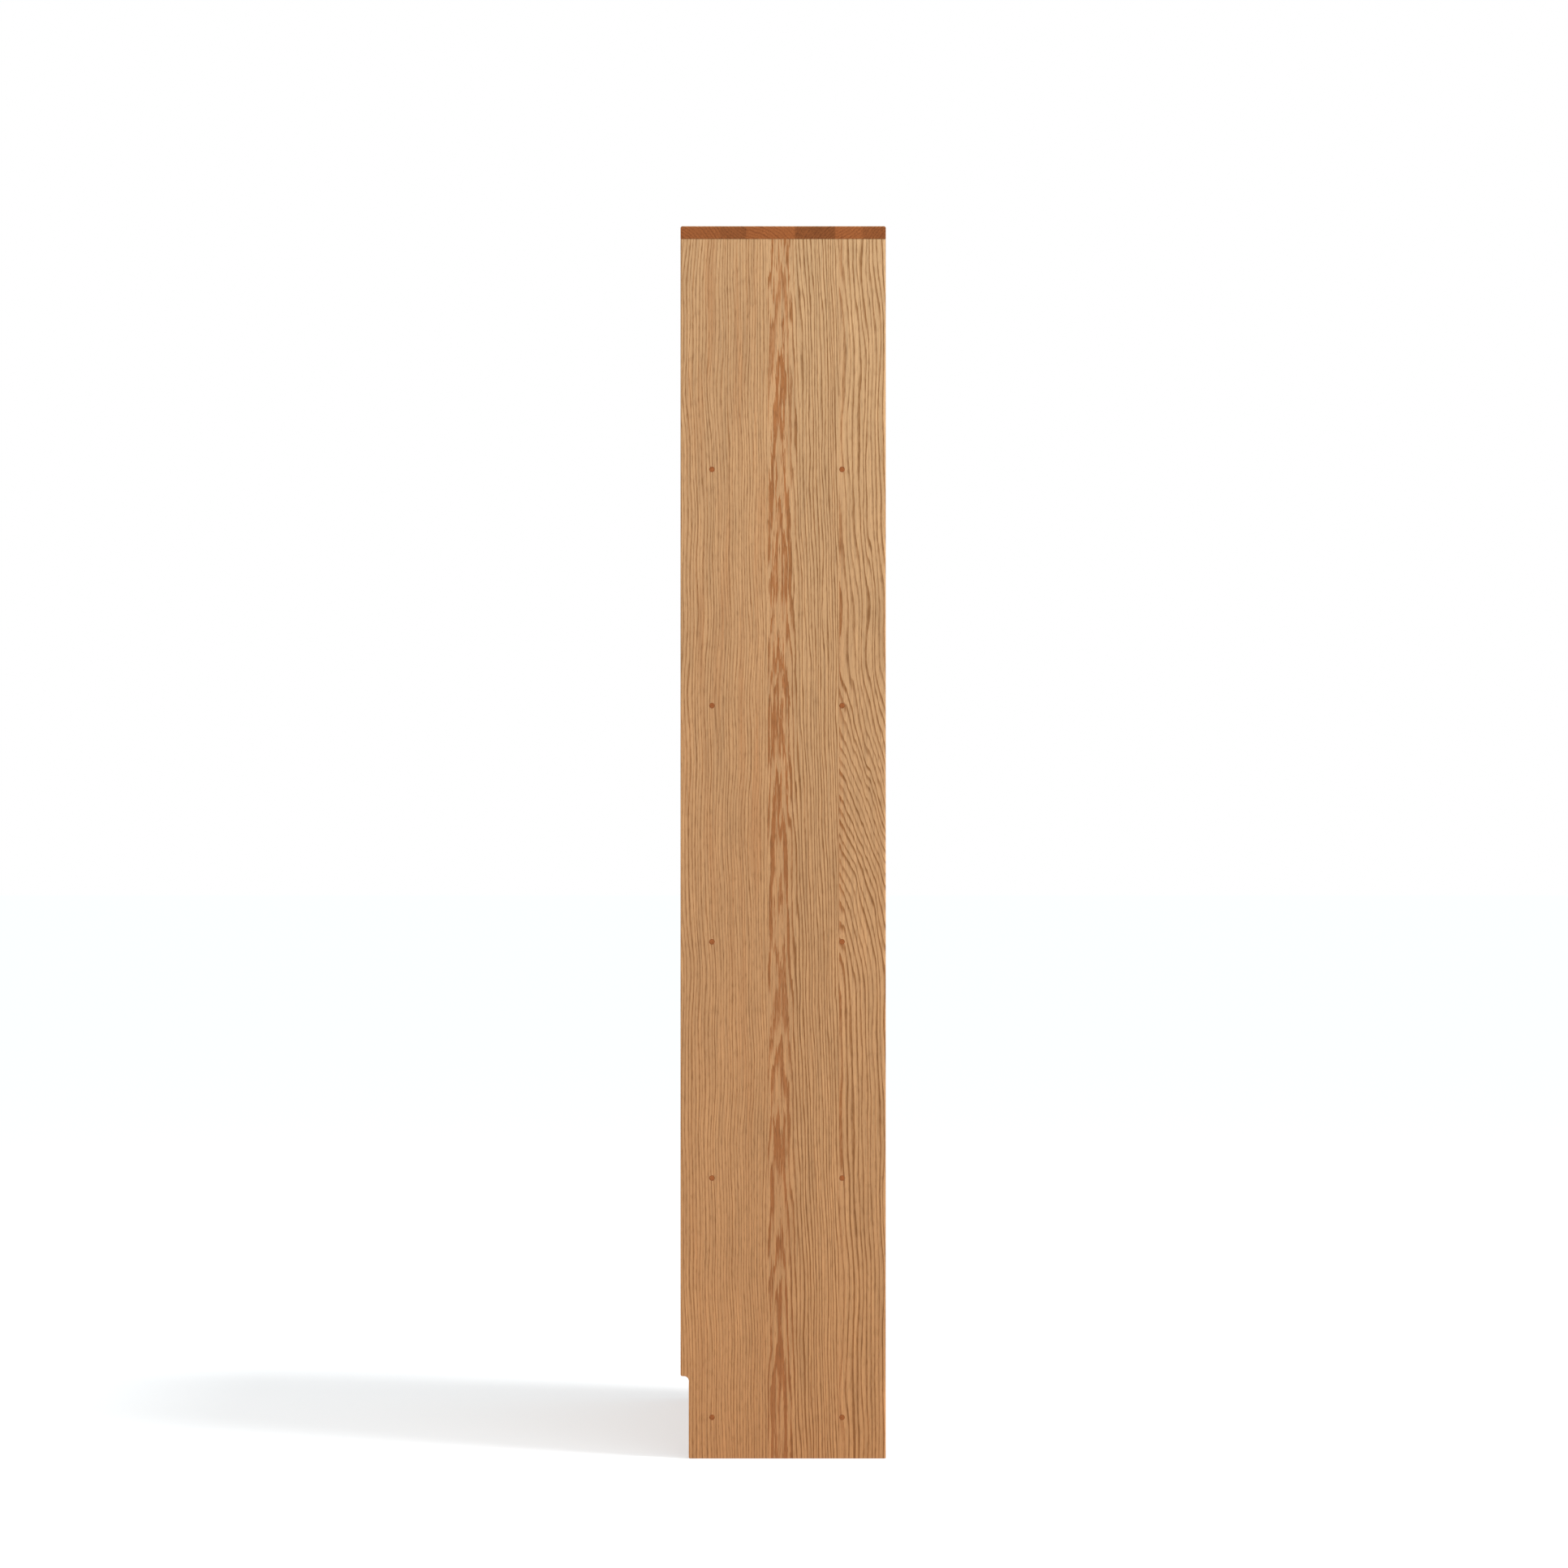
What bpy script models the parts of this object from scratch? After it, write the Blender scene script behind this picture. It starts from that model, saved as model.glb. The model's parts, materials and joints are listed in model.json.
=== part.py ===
"""Tall two-tier pantry cabinet in solid oak: a carcass with five dowelled boards, and four inset doors.

Units are metres and +Z is up. The origin is the middle of the footprint on the floor, and the doors face -Y.
"Left" and "right" are as seen from the front: left is -X.
Each object is one solid piece of the cabinet. Cutters are hidden from renders.
"""

import math

import bmesh
import bpy
from mathutils import Matrix, Vector

# Overall size
HEIGHT = 1.800
WIDTH = 0.800
DEPTH = 0.300
BOARD = 0.019  # thickness of every carcass board
GAP = 0.0003  # between two pieces that touch
OVERRUN = 0.010  # how far a cutter stands out of the face that it opens
BORE_OVERRUN = 0.005

# Carcass planes
INNER_X = WIDTH / 2 - BOARD  # inner face of the right side panel
FRONT = -DEPTH / 2
REAR = DEPTH / 2
TOP_UNDERSIDE = HEIGHT - BOARD
EDGE_ROUND = 0.003

# Fixed boards: the heights of their middles
BOTTOM_MID = 0.060
SHELF_PITCH = 0.345
TOP_SHELF_MID = 1.4445
SHELF_MIDS = [TOP_SHELF_MID - SHELF_PITCH * step for step in (3, 2, 1, 0)]
DIVIDER_MID = SHELF_MIDS[1]
SHELF_SETBACK = 0.026  # front edge of a shelf behind a door, from the carcass front

# Skirting notch at the foot of each side panel's rear edge
NOTCH_DEPTH = 0.012
NOTCH_HEIGHT = 0.120
NOTCH_FILLET = 0.007
NOTCH_LIP = 0.0025

# Back panel and its groove
BACK_THICK = 0.008
BACK_INSET = 0.018  # rear face of the back panel, from the carcass rear
GROOVE_DEPTH = 0.0065
GROOVE_WIDTH = BACK_THICK + 2 * GAP
BACK_FRONT = REAR - BACK_INSET - BACK_THICK

# Dowels that pin the fixed boards, through the side panels
DOWEL_R = 0.004
DOWEL_LENGTH = 0.056
DOWEL_FRONT_Y = FRONT + 0.064
DOWEL_REAR_Y = REAR - 0.046
DOWEL_SIDES = 16

# Tongue along the head of each side panel, in a stopped groove of the top board
TONGUE_THICK = 0.008
TONGUE_HIGH = 0.006
TONGUE_STOP = 0.022
TONGUE_ROOT = 0.010  # how far the tongue's solid reaches down into the panel

# Plinth board
PLINTH_SETBACK = 0.020
PLINTH_FLOOR_GAP = 0.003

# Doors
DOOR_THICK = 0.018
DOOR_SETBACK = 0.0015
DOOR_SIDE_GAP = 0.003
DOOR_END_GAP = 0.0025
MEMBER = 0.055  # width of a stile or a rail
DOOR_FRONT = FRONT + DOOR_SETBACK
DOOR_BACK = DOOR_FRONT + DOOR_THICK
DOOR_MID_Y = (DOOR_FRONT + DOOR_BACK) / 2
DOOR_WIDTH = INNER_X - 1.5 * DOOR_SIDE_GAP
HINGE_ROUND = 0.004  # front corner of the hinge stile, rounded so that it clears the side panel
FRAME_GROOVE = 0.010
FRAME_TONGUE = FRAME_GROOVE - 2 * GAP
TONGUE_SHY = 0.0005  # how much narrower a rail's tongue is than the rail, at each edge
RAIL_CUT_OVERRUN = 0.030
GLASS_THICK = 0.004
PANEL_THICK = 0.008
INFILL_IN_GROOVE = 0.009
FINGER_R = 0.022
FINGER_SIDES = 32
UPPER_FINGER_Z = 1.060
LOWER_FINGER_Z = 0.622

# Pivot pins
PIVOT_INSET = 0.009  # axis from the hinge stile's edge
PIVOT_X = INNER_X - DOOR_SIDE_GAP - PIVOT_INSET
PIVOT_R = 0.003
PIVOT_BORE_R = PIVOT_R + GAP
PIVOT_FLANGE_R = 0.006
PIVOT_IN_BOARD = 0.0075
PIVOT_IN_STILE = 0.014
PIVOT_SIDES = 16

# Magnetic catches
CATCH_SIZE = Vector((0.046, 0.014, 0.011))
CATCH_POLE = Vector((0.012, 0.0012, 0.005))
CATCH_BEHIND_DOOR = 0.0028
CATCH_ROUND = 0.0015
POLE_INSET = 0.004  # of the poles from the housing's ends, and into its front

OAK = ("oak_long_grain", (0.50, 0.27, 0.13), 0.45, 0.0)
OAK_END = ("oak_end_grain", (0.32, 0.13, 0.05), 0.55, 0.0)
OAK_BACK = ("oak_back", (0.52, 0.30, 0.15), 0.50, 0.0)
GLASS = ("clear_glass", (0.90, 0.95, 0.93), 0.03, 0.0)
BRASS = ("satin_brass", (0.60, 0.43, 0.18), 0.32, 1.0)
CATCH = ("catch_housing", (0.45, 0.30, 0.17), 0.50, 0.0)


def clear_scene():
    for old in list(bpy.data.objects):
        bpy.data.objects.remove(old)


def material(finish):
    name, colour, roughness, metallic = finish
    made = bpy.data.materials.get(name)
    if made is None:
        made = bpy.data.materials.new(name)
        made.use_nodes = True
        shader = made.node_tree.nodes["Principled BSDF"]
        shader.inputs["Base Color"].default_value = (*colour, 1.0)
        shader.inputs["Roughness"].default_value = roughness
        shader.inputs["Metallic"].default_value = metallic
    return made


def piece(name, bm, finish=None):
    """Turns a bmesh into a named object; with no finish it is a hidden cutter or helper."""
    bmesh.ops.recalc_face_normals(bm, faces=bm.faces)
    mesh = bpy.data.meshes.new(name)
    bm.to_mesh(mesh)
    bm.free()
    made = bpy.data.objects.new(name, mesh)
    bpy.context.scene.collection.objects.link(made)
    if finish:
        mesh.materials.append(material(finish))
        mesh.shade_smooth()
        mesh.set_sharp_from_angle(angle=math.radians(30))
    else:
        made.hide_render = True
        made.display_type = "WIRE"
    return made


def add_box(bm, low, high):
    low, high = Vector(low), Vector(high)
    place = Matrix.Translation((low + high) / 2) @ Matrix.Diagonal((*(high - low), 1.0))
    return bmesh.ops.create_cube(bm, size=1.0, matrix=place)["verts"]


def round_edges(bm, chosen, radius, segments=2):
    edges = [edge for edge in bm.edges if chosen(*(corner.co for corner in edge.verts))]
    bmesh.ops.bevel(bm, geom=edges, offset=radius, segments=segments, profile=0.5, affect="EDGES")


def at(axis, value):
    """A test for edges that lie in the plane axis = value."""
    return lambda a, b: abs(a[axis] - value) < 1e-6 and abs(b[axis] - value) < 1e-6


def both(first, second):
    return lambda a, b: first(a, b) and second(a, b)


def box(name, low, high, finish=None, rounds=()):
    """A box with some edges rounded: rounds lists (test, radius) pairs."""
    bm = bmesh.new()
    add_box(bm, low, high)
    for chosen, radius in rounds:
        round_edges(bm, chosen, radius)
    return piece(name, bm, finish)


def add_turned(bm, profile, centre, axis="Z", sides=DOWEL_SIDES):
    """A closed turned shape: profile lists (radius, distance along the axis) from one end to the other."""
    turns = {
        "X": Matrix.Rotation(math.pi / 2, 4, "Y"),
        "Y": Matrix.Rotation(-math.pi / 2, 4, "X"),
        "Z": Matrix(),
    }
    place = Matrix.Translation(centre) @ turns[axis]
    rings = []
    for radius, along in profile:
        angles = (math.tau * (step + 0.5) / sides for step in range(sides))
        points = (Vector((radius * math.cos(angle), radius * math.sin(angle), along)) for angle in angles)
        rings.append([bm.verts.new(place @ point) for point in points])
    for ring, following in zip(rings, rings[1:]):
        for step in range(sides):
            after = (step + 1) % sides
            bm.faces.new((ring[step], ring[after], following[after], following[step]))
    bm.faces.new(reversed(rings[0]))
    bm.faces.new(rings[-1])


def cut(target, cutter):
    made = target.modifiers.new("cut_" + cutter.name, "BOOLEAN")
    made.operation = "DIFFERENCE"
    made.solver = "EXACT"
    made.object = cutter


def join(target, other):
    made = target.modifiers.new("join_" + other.name, "BOOLEAN")
    made.operation = "UNION"
    made.solver = "EXACT"
    made.object = other


def dowel_places(middle):
    return [(y, middle) for y in (DOWEL_FRONT_Y, DOWEL_REAR_Y)]


# --- carcass ---------------------------------------------------------------------------------------


def side_outline():
    """The side panel's edge in the Y-Z plane, with the skirting notch at the foot of its rear edge."""
    notch_y = REAR - NOTCH_DEPTH
    points = [(FRONT, 0.0), (notch_y, 0.0)]
    fillet = (notch_y + NOTCH_FILLET, NOTCH_HEIGHT - NOTCH_FILLET)
    steps = 5
    for step in range(steps + 1):
        angle = math.pi - math.pi / 2 * step / steps
        across, up = NOTCH_FILLET * math.cos(angle), NOTCH_FILLET * math.sin(angle)
        points.append((fillet[0] + across, fillet[1] + up))
    lip = (REAR - NOTCH_LIP, NOTCH_HEIGHT + NOTCH_LIP)
    for step in range(steps - 1):
        angle = -math.pi / 2 + math.pi / 2 * step / (steps - 2)
        across, up = NOTCH_LIP * math.cos(angle), NOTCH_LIP * math.sin(angle)
        points.append((lip[0] + across, lip[1] + up))
    points += [(REAR, TOP_UNDERSIDE - GAP), (FRONT, TOP_UNDERSIDE - GAP)]
    return points


def side_panel(side, word):
    outer = side * WIDTH / 2
    inner = side * INNER_X
    bm = bmesh.new()
    face = bm.faces.new([bm.verts.new((outer, y, z)) for y, z in side_outline()])
    grown = bmesh.ops.extrude_face_region(bm, geom=[face])["geom"]
    moved = [item for item in grown if isinstance(item, bmesh.types.BMVert)]
    bmesh.ops.translate(bm, verts=moved, vec=(inner - outer, 0.0, 0.0))
    round_edges(bm, at(1, FRONT), EDGE_ROUND, segments=3)
    panel = piece(f"side_panel_{word}", bm, OAK)

    middle = (outer + inner) / 2
    half = TONGUE_THICK / 2
    tongue = box(
        f"tongue_{word}",
        (middle - half, FRONT + TONGUE_STOP, TOP_UNDERSIDE - TONGUE_ROOT),
        (middle + half, BACK_FRONT - TONGUE_STOP, TOP_UNDERSIDE + TONGUE_HIGH),
    )
    join(panel, tongue)

    groove_low, groove_high = sorted((inner - side * OVERRUN, inner + side * GROOVE_DEPTH))
    groove = box(
        f"back_groove_{word}",
        (groove_low, BACK_FRONT - GAP, BOTTOM_MID - BOARD / 2),
        (groove_high, BACK_FRONT - GAP + GROOVE_WIDTH, HEIGHT),
    )
    cut(panel, groove)

    bores = bmesh.new()
    for mid in [BOTTOM_MID, *SHELF_MIDS]:
        for y, z in dowel_places(mid):
            add_turned(bores, [(DOWEL_R + GAP, -BOARD), (DOWEL_R + GAP, BOARD)], (middle, y, z), "X")
    cut(panel, piece(f"dowel_bores_{word}", bores))


def pivot_bores(name, boards_face, into):
    """Bores for the pivot pins in a board: into is +1 upwards or -1 downwards from the board's face."""
    bm = bmesh.new()
    ends = sorted((-into * BORE_OVERRUN, into * (PIVOT_IN_BOARD + GAP)))
    for side in (-1, 1):
        centre = (side * PIVOT_X, DOOR_MID_Y, boards_face)
        add_turned(bm, [(PIVOT_BORE_R, ends[0]), (PIVOT_BORE_R, ends[1])], centre, "Z", PIVOT_SIDES)
    return piece(name, bm)


def top_board():
    half_x = WIDTH / 2
    board = box(
        "top_board",
        (-half_x, FRONT, TOP_UNDERSIDE),
        (half_x, REAR, HEIGHT),
        OAK,
        rounds=[(both(at(2, HEIGHT), at(1, y)), EDGE_ROUND) for y in (FRONT, REAR)],
    )
    middle = (half_x + INNER_X) / 2
    half = TONGUE_THICK / 2 + GAP
    grooves = bmesh.new()
    for side in (-1, 1):
        add_box(
            grooves,
            (side * middle - half, FRONT + TONGUE_STOP - GAP, TOP_UNDERSIDE - OVERRUN),
            (side * middle + half, BACK_FRONT - TONGUE_STOP + GAP, TOP_UNDERSIDE + TONGUE_HIGH + GAP),
        )
    reach = INNER_X + GROOVE_DEPTH
    add_box(
        grooves,
        (-reach, BACK_FRONT - GAP, TOP_UNDERSIDE - OVERRUN),
        (reach, BACK_FRONT - GAP + GROOVE_WIDTH, TOP_UNDERSIDE + GROOVE_DEPTH),
    )
    cut(board, piece("top_grooves", grooves))
    cut(board, pivot_bores("top_pivot_bores", TOP_UNDERSIDE, 1))


def fixed_board(name, middle, front, pivots):
    """A horizontal board between the side panels, pinned at each end by two dowels."""
    half_x = INNER_X - GAP
    low, high = middle - BOARD / 2, middle + BOARD / 2
    board = box(
        name,
        (-half_x, front, low),
        (half_x, BACK_FRONT - GAP, high),
        OAK,
        rounds=[(at(1, front), EDGE_ROUND / 2)],
    )
    reach = DOWEL_LENGTH - BOARD + 2 * GAP
    bores = bmesh.new()
    for side in (-1, 1):
        for y, z in dowel_places(middle):
            ends = sorted((side * OVERRUN, -side * reach))
            profile = [(DOWEL_R + GAP, ends[0]), (DOWEL_R + GAP, ends[1])]
            add_turned(bores, profile, (side * INNER_X, y, z), "X")
    cut(board, piece(f"{name}_dowel_bores", bores))
    if "above" in pivots:
        cut(board, pivot_bores(f"{name}_pivots_above", high, -1))
    if "below" in pivots:
        cut(board, pivot_bores(f"{name}_pivots_below", low, 1))


def fixed_boards():
    fixed_board("bottom_board", BOTTOM_MID, FRONT, ("above",))
    for number, middle in enumerate(SHELF_MIDS, start=1):
        divides = middle == DIVIDER_MID
        name = "divider_shelf" if divides else f"shelf_{number}"
        front = FRONT if divides else FRONT + SHELF_SETBACK
        fixed_board(name, middle, front, ("above", "below") if divides else ())


def dowels():
    """Each dowel's end lies flush with the outside of its side panel."""
    levels = [("bottom", BOTTOM_MID)] + [(f"level_{n}", mid) for n, mid in enumerate(SHELF_MIDS, start=1)]
    for side, word in ((-1, "left"), (1, "right")):
        for level, mid in levels:
            for end, y in (("front", DOWEL_FRONT_Y), ("rear", DOWEL_REAR_Y)):
                bm = bmesh.new()
                ends = sorted((side * WIDTH / 2, side * (WIDTH / 2 - DOWEL_LENGTH)))
                add_turned(bm, [(DOWEL_R, ends[0]), (DOWEL_R, ends[1])], (0.0, y, mid), "X")
                piece(f"dowel_{word}_{level}_{end}", bm, OAK_END)


def back_panel():
    reach = INNER_X + GROOVE_DEPTH - 2 * GAP
    box(
        "back_panel",
        (-reach, BACK_FRONT, BOTTOM_MID - BOARD / 2 + GAP),
        (reach, BACK_FRONT + BACK_THICK, TOP_UNDERSIDE + GROOVE_DEPTH - 2 * GAP),
        OAK_BACK,
    )


def plinth_board():
    half_x = INNER_X - GAP
    front = FRONT + PLINTH_SETBACK
    box(
        "plinth_board",
        (-half_x, front, PLINTH_FLOOR_GAP),
        (half_x, front + BOARD, BOTTOM_MID - BOARD / 2 - GAP),
        OAK,
        rounds=[(both(at(1, front), at(2, PLINTH_FLOOR_GAP)), EDGE_ROUND / 2)],
    )


# --- doors -----------------------------------------------------------------------------------------


def stile(name, side, hinged, low, high, groove, finger_z):
    """An upright of a door frame. The pivots enter the hinged one; the other has the finger cut-out."""
    hinge_edge = side * (INNER_X - DOOR_SIDE_GAP)
    meeting_edge = side * DOOR_SIDE_GAP / 2
    outer = hinge_edge if hinged else meeting_edge
    inner = outer - side * MEMBER if hinged else outer + side * MEMBER
    x_low, x_high = sorted((outer, inner))
    front_corner = HINGE_ROUND if hinged else EDGE_ROUND / 2
    rounds = [(both(at(0, outer), at(1, DOOR_FRONT)), front_corner)]
    upright = box(name, (x_low, DOOR_FRONT, low), (x_high, DOOR_BACK, high), OAK, rounds)

    towards = 1 if inner > outer else -1
    slot_low, slot_high = sorted((inner - towards * FRAME_GROOVE, inner + towards * OVERRUN))
    half = groove / 2 + GAP
    slot = box(
        f"{name}_groove",
        (slot_low, DOOR_MID_Y - half, low - OVERRUN),
        (slot_high, DOOR_MID_Y + half, high + OVERRUN),
    )
    cut(upright, slot)
    if hinged:
        bores = bmesh.new()
        for end, into in ((low, 1), (high, -1)):
            span = sorted((-into * BORE_OVERRUN, into * (PIVOT_IN_STILE + GAP)))
            profile = [(PIVOT_BORE_R, span[0]), (PIVOT_BORE_R, span[1])]
            add_turned(bores, profile, (side * PIVOT_X, DOOR_MID_Y, end), "Z", PIVOT_SIDES)
        cut(upright, piece(f"{name}_bores", bores))
    else:
        moon = bmesh.new()
        profile = [(FINGER_R, -DOOR_THICK), (FINGER_R, DOOR_THICK)]
        add_turned(moon, profile, (0.0, DOOR_MID_Y, finger_z), "Y", FINGER_SIDES)
        cut(upright, piece(f"{name}_finger_cut", moon))
    return upright


def rail(name, side, low, high, inner_edge, groove):
    """A crosspiece of a door frame, with stub tongues. inner_edge is +1 where the groove is on top."""
    inner_x = side * (DOOR_SIDE_GAP / 2 + MEMBER)
    outer_x = side * (INNER_X - DOOR_SIDE_GAP - MEMBER)
    x_low, x_high = sorted((inner_x, outer_x))
    x_low, x_high = x_low + GAP, x_high - GAP
    crosspiece = box(name, (x_low, DOOR_FRONT, low), (x_high, DOOR_BACK, high), OAK)
    half = groove / 2
    tongue = box(
        f"{name}_tongue",
        (x_low - FRAME_TONGUE, DOOR_MID_Y - half, low + TONGUE_SHY),
        (x_high + FRAME_TONGUE, DOOR_MID_Y + half, high - TONGUE_SHY),
    )
    join(crosspiece, tongue)
    edge = high if inner_edge > 0 else low
    slot_low, slot_high = sorted((edge - inner_edge * FRAME_GROOVE, edge + inner_edge * OVERRUN))
    slot = box(
        f"{name}_groove",
        (x_low - RAIL_CUT_OVERRUN, DOOR_MID_Y - half - GAP, slot_low),
        (x_high + RAIL_CUT_OVERRUN, DOOR_MID_Y + half + GAP, slot_high),
    )
    cut(crosspiece, slot)
    return crosspiece


def infill(name, side, low, high, thick, finish):
    """The glass or the wood panel, held in the frame's grooves on all four sides."""
    x_low, x_high = sorted(
        (
            side * (DOOR_SIDE_GAP / 2 + MEMBER - INFILL_IN_GROOVE),
            side * (INNER_X - DOOR_SIDE_GAP - MEMBER + INFILL_IN_GROOVE),
        )
    )
    z_low = low + MEMBER - INFILL_IN_GROOVE
    z_high = high - MEMBER + INFILL_IN_GROOVE
    half = thick / 2
    return box(name, (x_low, DOOR_MID_Y - half, z_low), (x_high, DOOR_MID_Y + half, z_high), finish)


def pivot_pin(name, side, board_face, into_board):
    """A flanged pin: one end in the board, the flange in the gap, the other end in the door's stile."""
    flange_far = GAP - DOOR_END_GAP
    profile = [
        (PIVOT_R, PIVOT_IN_BOARD),
        (PIVOT_R, -GAP),
        (PIVOT_FLANGE_R, -GAP),
        (PIVOT_FLANGE_R, flange_far),
        (PIVOT_R, flange_far),
        (PIVOT_R, -DOOR_END_GAP - PIVOT_IN_STILE),
    ]
    bm = bmesh.new()
    turned = [(radius, into_board * along) for radius, along in profile]
    add_turned(bm, turned, (side * PIVOT_X, DOOR_MID_Y, board_face), "Z", PIVOT_SIDES)
    return piece(name, bm, BRASS)


def door(tier, side, word, low, high, infill_thick, infill_name, finish, finger_z):
    """A framed door, its parts parented to an empty on the pivot axis."""
    prefix = f"{tier}_{word}"
    hinge = bpy.data.objects.new(f"{prefix}_door_axis", None)
    hinge.location = (side * PIVOT_X, DOOR_MID_Y, (low + high) / 2)
    bpy.context.scene.collection.objects.link(hinge)
    parts = [
        stile(f"{prefix}_hinge_stile", side, True, low, high, infill_thick, finger_z),
        stile(f"{prefix}_meeting_stile", side, False, low, high, infill_thick, finger_z),
        rail(f"{prefix}_bottom_rail", side, low, low + MEMBER, 1, infill_thick),
        rail(f"{prefix}_top_rail", side, high - MEMBER, high, -1, infill_thick),
        infill(f"{prefix}_{infill_name}", side, low, high, infill_thick, finish),
    ]
    for part in parts:
        part.parent = hinge
        part.matrix_parent_inverse = Matrix.Translation(hinge.location).inverted()


def doors():
    tiers = (
        ("upper", DIVIDER_MID + BOARD / 2, TOP_UNDERSIDE, GLASS_THICK, "glass", GLASS, UPPER_FINGER_Z),
        ("lower", BOTTOM_MID + BOARD / 2, DIVIDER_MID - BOARD / 2, PANEL_THICK, "panel", OAK, LOWER_FINGER_Z),
    )
    for tier, below, above, thick, infill_name, finish, finger_z in tiers:
        for side, word in ((-1, "left"), (1, "right")):
            low, high = below + DOOR_END_GAP, above - DOOR_END_GAP
            door(tier, side, word, low, high, thick, infill_name, finish, finger_z)
            pivot_pin(f"{tier}_{word}_pivot_top", side, above, 1)
            pivot_pin(f"{tier}_{word}_pivot_bottom", side, below, -1)


def magnetic_catch(name, board_face):
    """A double magnetic catch under a board, behind the meeting stiles, with a steel pole for each door."""
    front = DOOR_BACK + CATCH_BEHIND_DOOR
    high = board_face - GAP
    half_x = CATCH_SIZE.x / 2
    bm = bmesh.new()
    add_box(bm, (-half_x, front, high - CATCH_SIZE.z), (half_x, front + CATCH_SIZE.y, high))
    round_edges(bm, both(at(1, front), at(2, high - CATCH_SIZE.z)), CATCH_ROUND)
    housing = piece(name, bm, CATCH)
    poles = bmesh.new()
    pole_mid = high - CATCH_SIZE.z / 2
    for side in (-1, 1):
        middle = side * (half_x - CATCH_POLE.x / 2 - POLE_INSET)
        add_box(
            poles,
            (middle - CATCH_POLE.x / 2, front - CATCH_POLE.y, pole_mid - CATCH_POLE.z / 2),
            (middle + CATCH_POLE.x / 2, front + POLE_INSET, pole_mid + CATCH_POLE.z / 2),
        )
    join(housing, piece(f"{name}_poles", poles))


def main():
    clear_scene()
    for side, word in ((-1, "left"), (1, "right")):
        side_panel(side, word)
    top_board()
    fixed_boards()
    dowels()
    back_panel()
    plinth_board()
    doors()
    magnetic_catch("upper_catch", TOP_UNDERSIDE)
    magnetic_catch("lower_catch", DIVIDER_MID - BOARD / 2)


main()
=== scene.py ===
"""A tall oak pantry cabinet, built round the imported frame: boards, pegs, doors, glass, pins and catches."""

import json
import math
import random
from typing import NamedTuple

import bpy
from bpy.props import FloatProperty, FloatVectorProperty, PointerProperty
from bpy.types import Operator, Panel, PropertyGroup
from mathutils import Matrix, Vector


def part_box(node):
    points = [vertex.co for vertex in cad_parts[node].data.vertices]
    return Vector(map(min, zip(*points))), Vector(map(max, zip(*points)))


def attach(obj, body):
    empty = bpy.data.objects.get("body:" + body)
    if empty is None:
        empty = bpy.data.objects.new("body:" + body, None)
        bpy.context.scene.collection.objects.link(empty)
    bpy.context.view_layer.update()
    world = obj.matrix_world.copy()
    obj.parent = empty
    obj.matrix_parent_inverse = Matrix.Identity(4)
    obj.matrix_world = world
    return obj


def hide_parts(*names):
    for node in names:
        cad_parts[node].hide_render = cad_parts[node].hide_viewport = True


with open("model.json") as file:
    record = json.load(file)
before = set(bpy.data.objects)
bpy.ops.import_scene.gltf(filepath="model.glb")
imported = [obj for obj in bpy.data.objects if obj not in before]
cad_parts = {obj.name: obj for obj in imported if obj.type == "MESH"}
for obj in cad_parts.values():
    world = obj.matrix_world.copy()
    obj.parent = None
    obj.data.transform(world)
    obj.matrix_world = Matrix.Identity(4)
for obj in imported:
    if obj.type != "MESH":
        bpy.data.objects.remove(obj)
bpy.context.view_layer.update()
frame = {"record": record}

bl_info = {
    "name": "Pantry Cabinet",
    "version": (1, 0, 0),
    "blender": (4, 5, 0),
    "location": "3D View > Sidebar > Pantry",
    "description": "Builds a tall oak pantry cabinet with glazed and panelled doors",
    "category": "Object",
}

X, Y, Z = range(3)
SIDES = ((-1, "left"), (1, "right"))
TIERS = ("upper", "lower")
LEVELS = ("bottom", "level_1", "level_2", "level_3", "level_4")
ENDS = ("front", "rear")
CARCASS = "carcass"

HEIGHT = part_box("top_board")[1].z
HALF_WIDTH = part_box("top_board")[1].x
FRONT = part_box("top_board")[0].y
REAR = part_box("top_board")[1].y
TOP_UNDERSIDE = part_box("top_board")[0].z
INNER_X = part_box("side_panel_right")[0].x
BACK_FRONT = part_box("back_panel")[0].y
BACK_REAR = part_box("back_panel")[1].y
TOUCH = 1e-5  # two places closer than this are one
OVERRUN = 0.001  # how far a cutter stands out of the face that it opens

# How often each noise in the oak changes in a metre: across the grain, through it, and along it
SWELLS = (4.0, 4.0, 4.2)
WAVES = (84.0, 84.0, 8.0)
FIBRES = (270.0, 270.0, 12.0)
THREADS = (310.0, 310.0, 7.0)
PORES = (470.0, 470.0, 62.0)
DRIFTS = (13.0, 13.0, 1.9)
BLUSHES = (62.0, 62.0, 3.6)
SPECKS = (620.0, 620.0, 300.0)
SEASONS = 95.0  # how often wide years give way to narrow ones, in a metre of a log's radius
RAYS = 42.0  # how often pale rays and dark wood change, in a turn round a log's heart
STAVE_SHIFT = 0.37  # how far each further stave moves along the noise, so that no two match

# What draws the staves of each panel at random
SEED_SIDE, SEED_BOARDS, SEED_PLINTH, SEED_BACK, SEED_DOORS = 11, 21, 71, 5, 40
SIDE_STAVE, BOARD_STAVE, PLINTH_STAVE, PANEL_STAVE = 0.098, 0.085, 0.060, 0.095
NARROWEST = 0.45  # part of the usual width below which a last stave isn't added

# Screw heads
SCREW_RADIUS = 0.0026
SCREW_THICK = 0.0011
SCREW_SUNK = 0.0006  # how much of that lies below the face
SCREW_ROUND = 0.0004
SLOT_REACH = 0.0040
SLOT_HALF = 0.0003
SLOT_DEEP = 0.0004

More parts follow.
